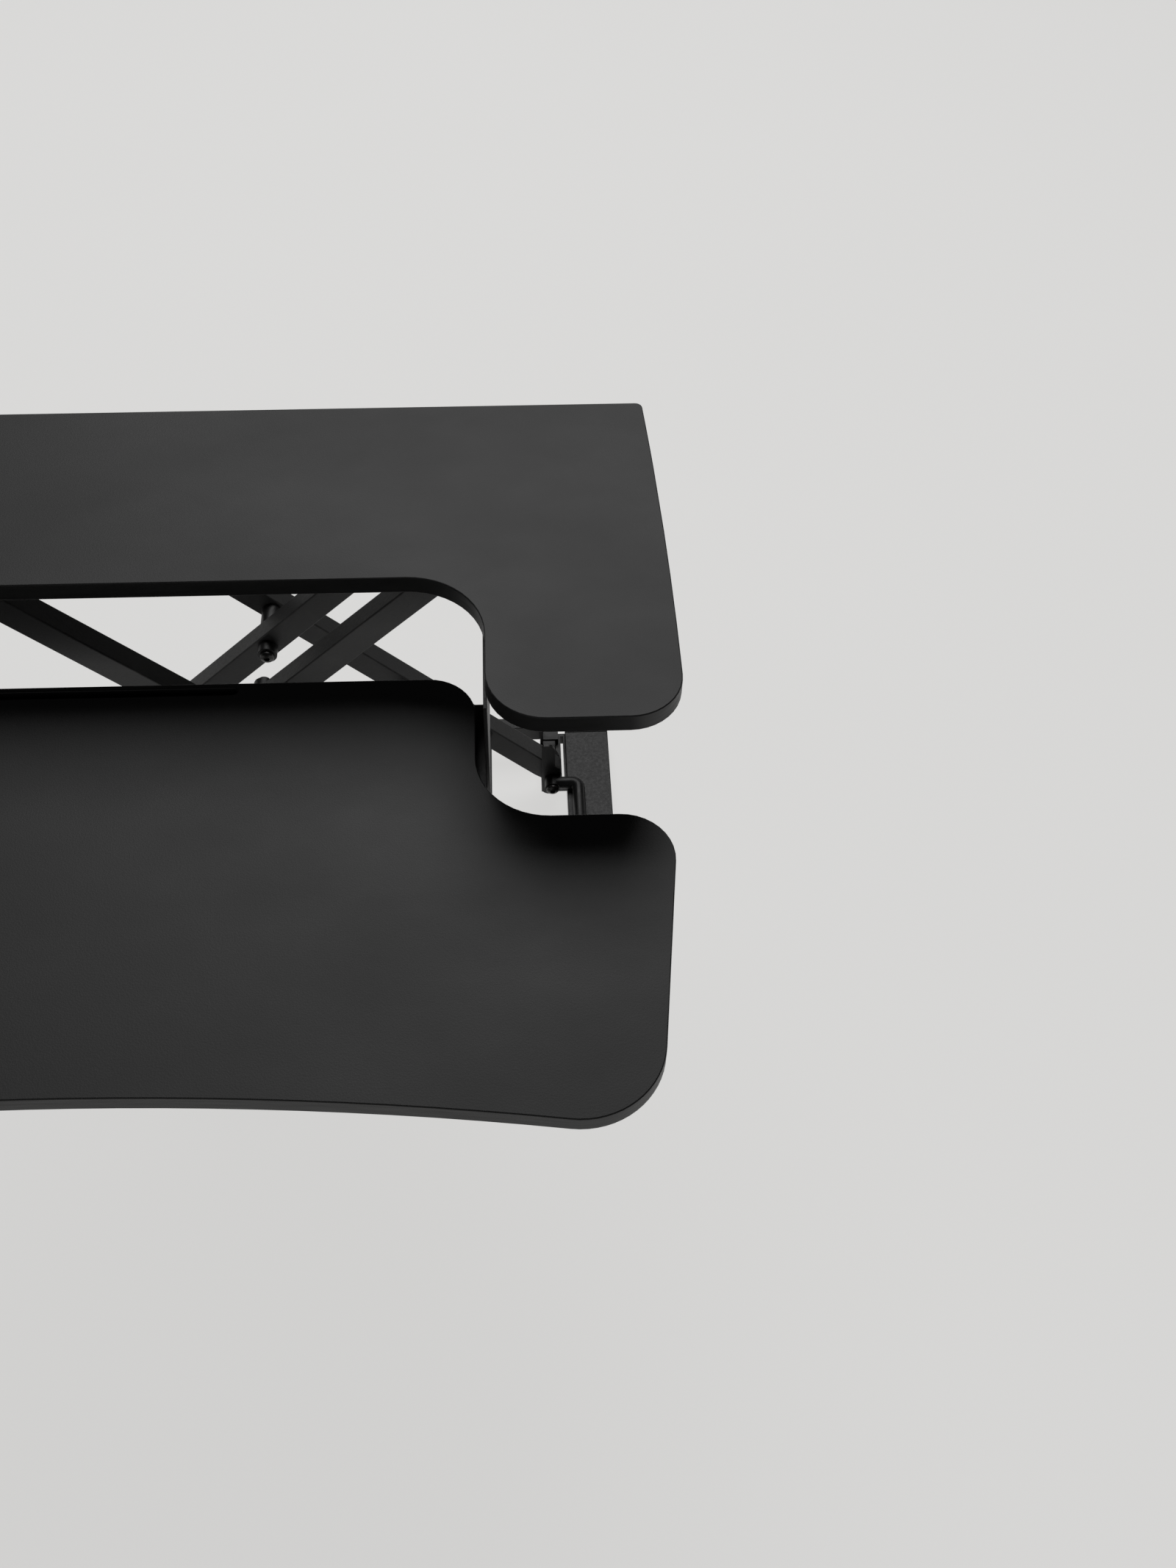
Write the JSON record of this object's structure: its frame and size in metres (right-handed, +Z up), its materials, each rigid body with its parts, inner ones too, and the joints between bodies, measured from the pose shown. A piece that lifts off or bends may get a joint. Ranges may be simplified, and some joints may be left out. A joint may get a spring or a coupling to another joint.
{
  "type": "standing desk converter",
  "caption": "Desktop sit-stand riser: a U-shaped top over a lower keyboard tray, lifted by a side-to-side scissor frame with a gas strut.",
  "frame": {"origin": "middle of the bounding box, on the surface the feet stand on", "axes": "+X to the user's right, +Y away from the user, +Z up"},
  "size_m": [0.914, 0.6546, 0.505],
  "materials": {
    "board": "black laminated board, fine matt texture",
    "frame_steel": "black powder coat, satin",
    "black_plastic": "moulded black plastic, fine texture",
    "rubber": "black rubber",
    "blackened_steel": "black oxide",
    "nylon": "dark nylon",
    "chrome_rod": "polished hard chrome"
  },
  "bodies": {
    "base": {"base_rail_left": "frame_steel", "base_rail_right": "frame_steel", "rail_end_caps": "black_plastic", "rubber_feet": "rubber", "front_cross_member": "frame_steel", "rear_cross_member": "frame_steel", "back_cross_member": "frame_steel", "base_track_front": "frame_steel", "base_track_rear": "frame_steel", "base_track_stops": "rubber", "pivot_bracket_front": "frame_steel", "pivot_bracket_rear": "frame_steel", "pivot_tie_tube": "frame_steel", "lower_pivot_bolts": "blackened_steel", "lower_pivot_nuts": "blackened_steel", "base_screws": "blackened_steel"},
    "outer_frame": {"outer_arm_front": "frame_steel", "outer_arm_rear": "frame_steel", "outer_lower_tube": "frame_steel", "outer_strut_tube": "frame_steel", "outer_lower_bushes": "nylon", "centre_pivot_bolts": "blackened_steel", "centre_spacers": "frame_steel", "centre_pivot_nuts": "blackened_steel", "upper_roller_axles": "blackened_steel"},
    "inner_frame": {"inner_arm_front": "frame_steel", "inner_arm_rear": "frame_steel", "inner_upper_tube": "frame_steel", "inner_strut_tube": "frame_steel", "centre_bushes": "nylon", "upper_bushes": "nylon", "lower_roller_axles": "blackened_steel"},
    "top": {"desktop": "board", "top_track_front": "frame_steel", "top_track_rear": "frame_steel", "top_track_stops": "rubber", "top_bracket_front": "frame_steel", "top_bracket_rear": "frame_steel", "upper_pivot_bolts": "blackened_steel", "upper_pivot_nuts": "blackened_steel", "desktop_screws": "blackened_steel", "tray_hanger_left": "frame_steel", "tray_hanger_right": "frame_steel", "tray_screws": "blackened_steel", "keyboard_tray": "board", "paddle_housing_left": "frame_steel", "paddle_housing_right": "frame_steel", "paddle_pins": "blackened_steel", "paddle_springs": "blackened_steel"},
    "upper_roller_front": {"upper_roller_front": "nylon"},
    "upper_roller_rear": {"upper_roller_rear": "nylon"},
    "lower_roller_front": {"lower_roller_front": "nylon"},
    "lower_roller_rear": {"lower_roller_rear": "nylon"},
    "paddle_left": {"paddle_left": "black_plastic"},
    "paddle_right": {"paddle_right": "black_plastic"},
    "strut_cylinder": {"strut_cylinder": "frame_steel", "strut_gland": "black_plastic"},
    "strut_rod": {"strut_rod": "chrome_rod"},
    "strut_release_lever": {"strut_release_lever": "black_plastic"}
  },
  "joints": [
    {"name": "lift", "type": "hinge", "parent": "base", "child": "outer_frame", "pos_m": [0.3725, 0.181, 0.031], "axis": [0, 1, 0], "range_deg": [-38.5, 0]},
    {"name": "crossing", "type": "hinge", "parent": "outer_frame", "child": "inner_frame", "pos_m": [0.10931, 0.181, 0.28964], "axis": [0, 1, 0], "range_deg": [0, 77]},
    {"name": "top_pivot", "type": "hinge", "parent": "inner_frame", "child": "top", "pos_m": [0.30082, 0.181, 0.47783], "axis": [0, 1, 0], "range_deg": [-38.5, 0]},
    {"name": "upper_roller_front_spin", "type": "hinge", "parent": "outer_frame", "child": "upper_roller_front", "pos_m": [-0.0822, 0.123, 0.47783], "axis": [0, 1, 0], "continuous": true},
    {"name": "upper_roller_rear_spin", "type": "hinge", "parent": "outer_frame", "child": "upper_roller_rear", "pos_m": [-0.0822, 0.2495, 0.47783], "axis": [0, 1, 0], "continuous": true},
    {"name": "lower_roller_front_spin", "type": "hinge", "parent": "inner_frame", "child": "lower_roller_front", "pos_m": [-0.15388, 0.159, 0.031], "axis": [0, 1, 0], "continuous": true},
    {"name": "lower_roller_rear_spin", "type": "hinge", "parent": "inner_frame", "child": "lower_roller_rear", "pos_m": [-0.15388, 0.203, 0.031], "axis": [0, 1, 0], "continuous": true},
    {"name": "strut_cylinder_pivot", "type": "hinge", "parent": "outer_frame", "child": "strut_cylinder", "pos_m": [0.22771, 0.181, 0.17328], "axis": [0, 1, 0], "range_deg": [0, 38.5]},
    {"name": "strut_rod_pivot", "type": "hinge", "parent": "inner_frame", "child": "strut_rod", "pos_m": [-0.00909, 0.181, 0.17328], "axis": [0, 1, 0], "range_deg": [-38.5, 0]},
    {"name": "paddle_left_squeeze", "type": "hinge", "parent": "top", "child": "paddle_left", "pos_m": [-0.414, 0.015, 0.478], "axis": [0, 1, 0], "range_deg": [0, 14], "stiffness_Nm_per_rad": 0.6, "springref_deg": -20.05},
    {"name": "paddle_right_squeeze", "type": "hinge", "parent": "top", "child": "paddle_right", "pos_m": [0.414, 0.015, 0.478], "axis": [0, 1, 0], "range_deg": [-14, 0], "stiffness_Nm_per_rad": 0.6, "springref_deg": 20.05},
    {"name": "release_lever", "type": "hinge", "parent": "strut_cylinder", "child": "strut_release_lever", "pos_m": [0.20371, 0.181, 0.18778], "axis": [0, 1, 0], "range_deg": [0, 18]}
  ],
  "couplings": [
    {"joint": "crossing", "follows": "lift", "ratio": -2},
    {"joint": "top_pivot", "follows": "lift", "ratio": 1},
    {"joint": "strut_cylinder_pivot", "follows": "lift", "ratio": -1},
    {"joint": "strut_rod_pivot", "follows": "lift", "ratio": 1},
    {"joint": "release_lever", "follows": "paddle_right_squeeze", "ratio": -1.28}
  ]
}
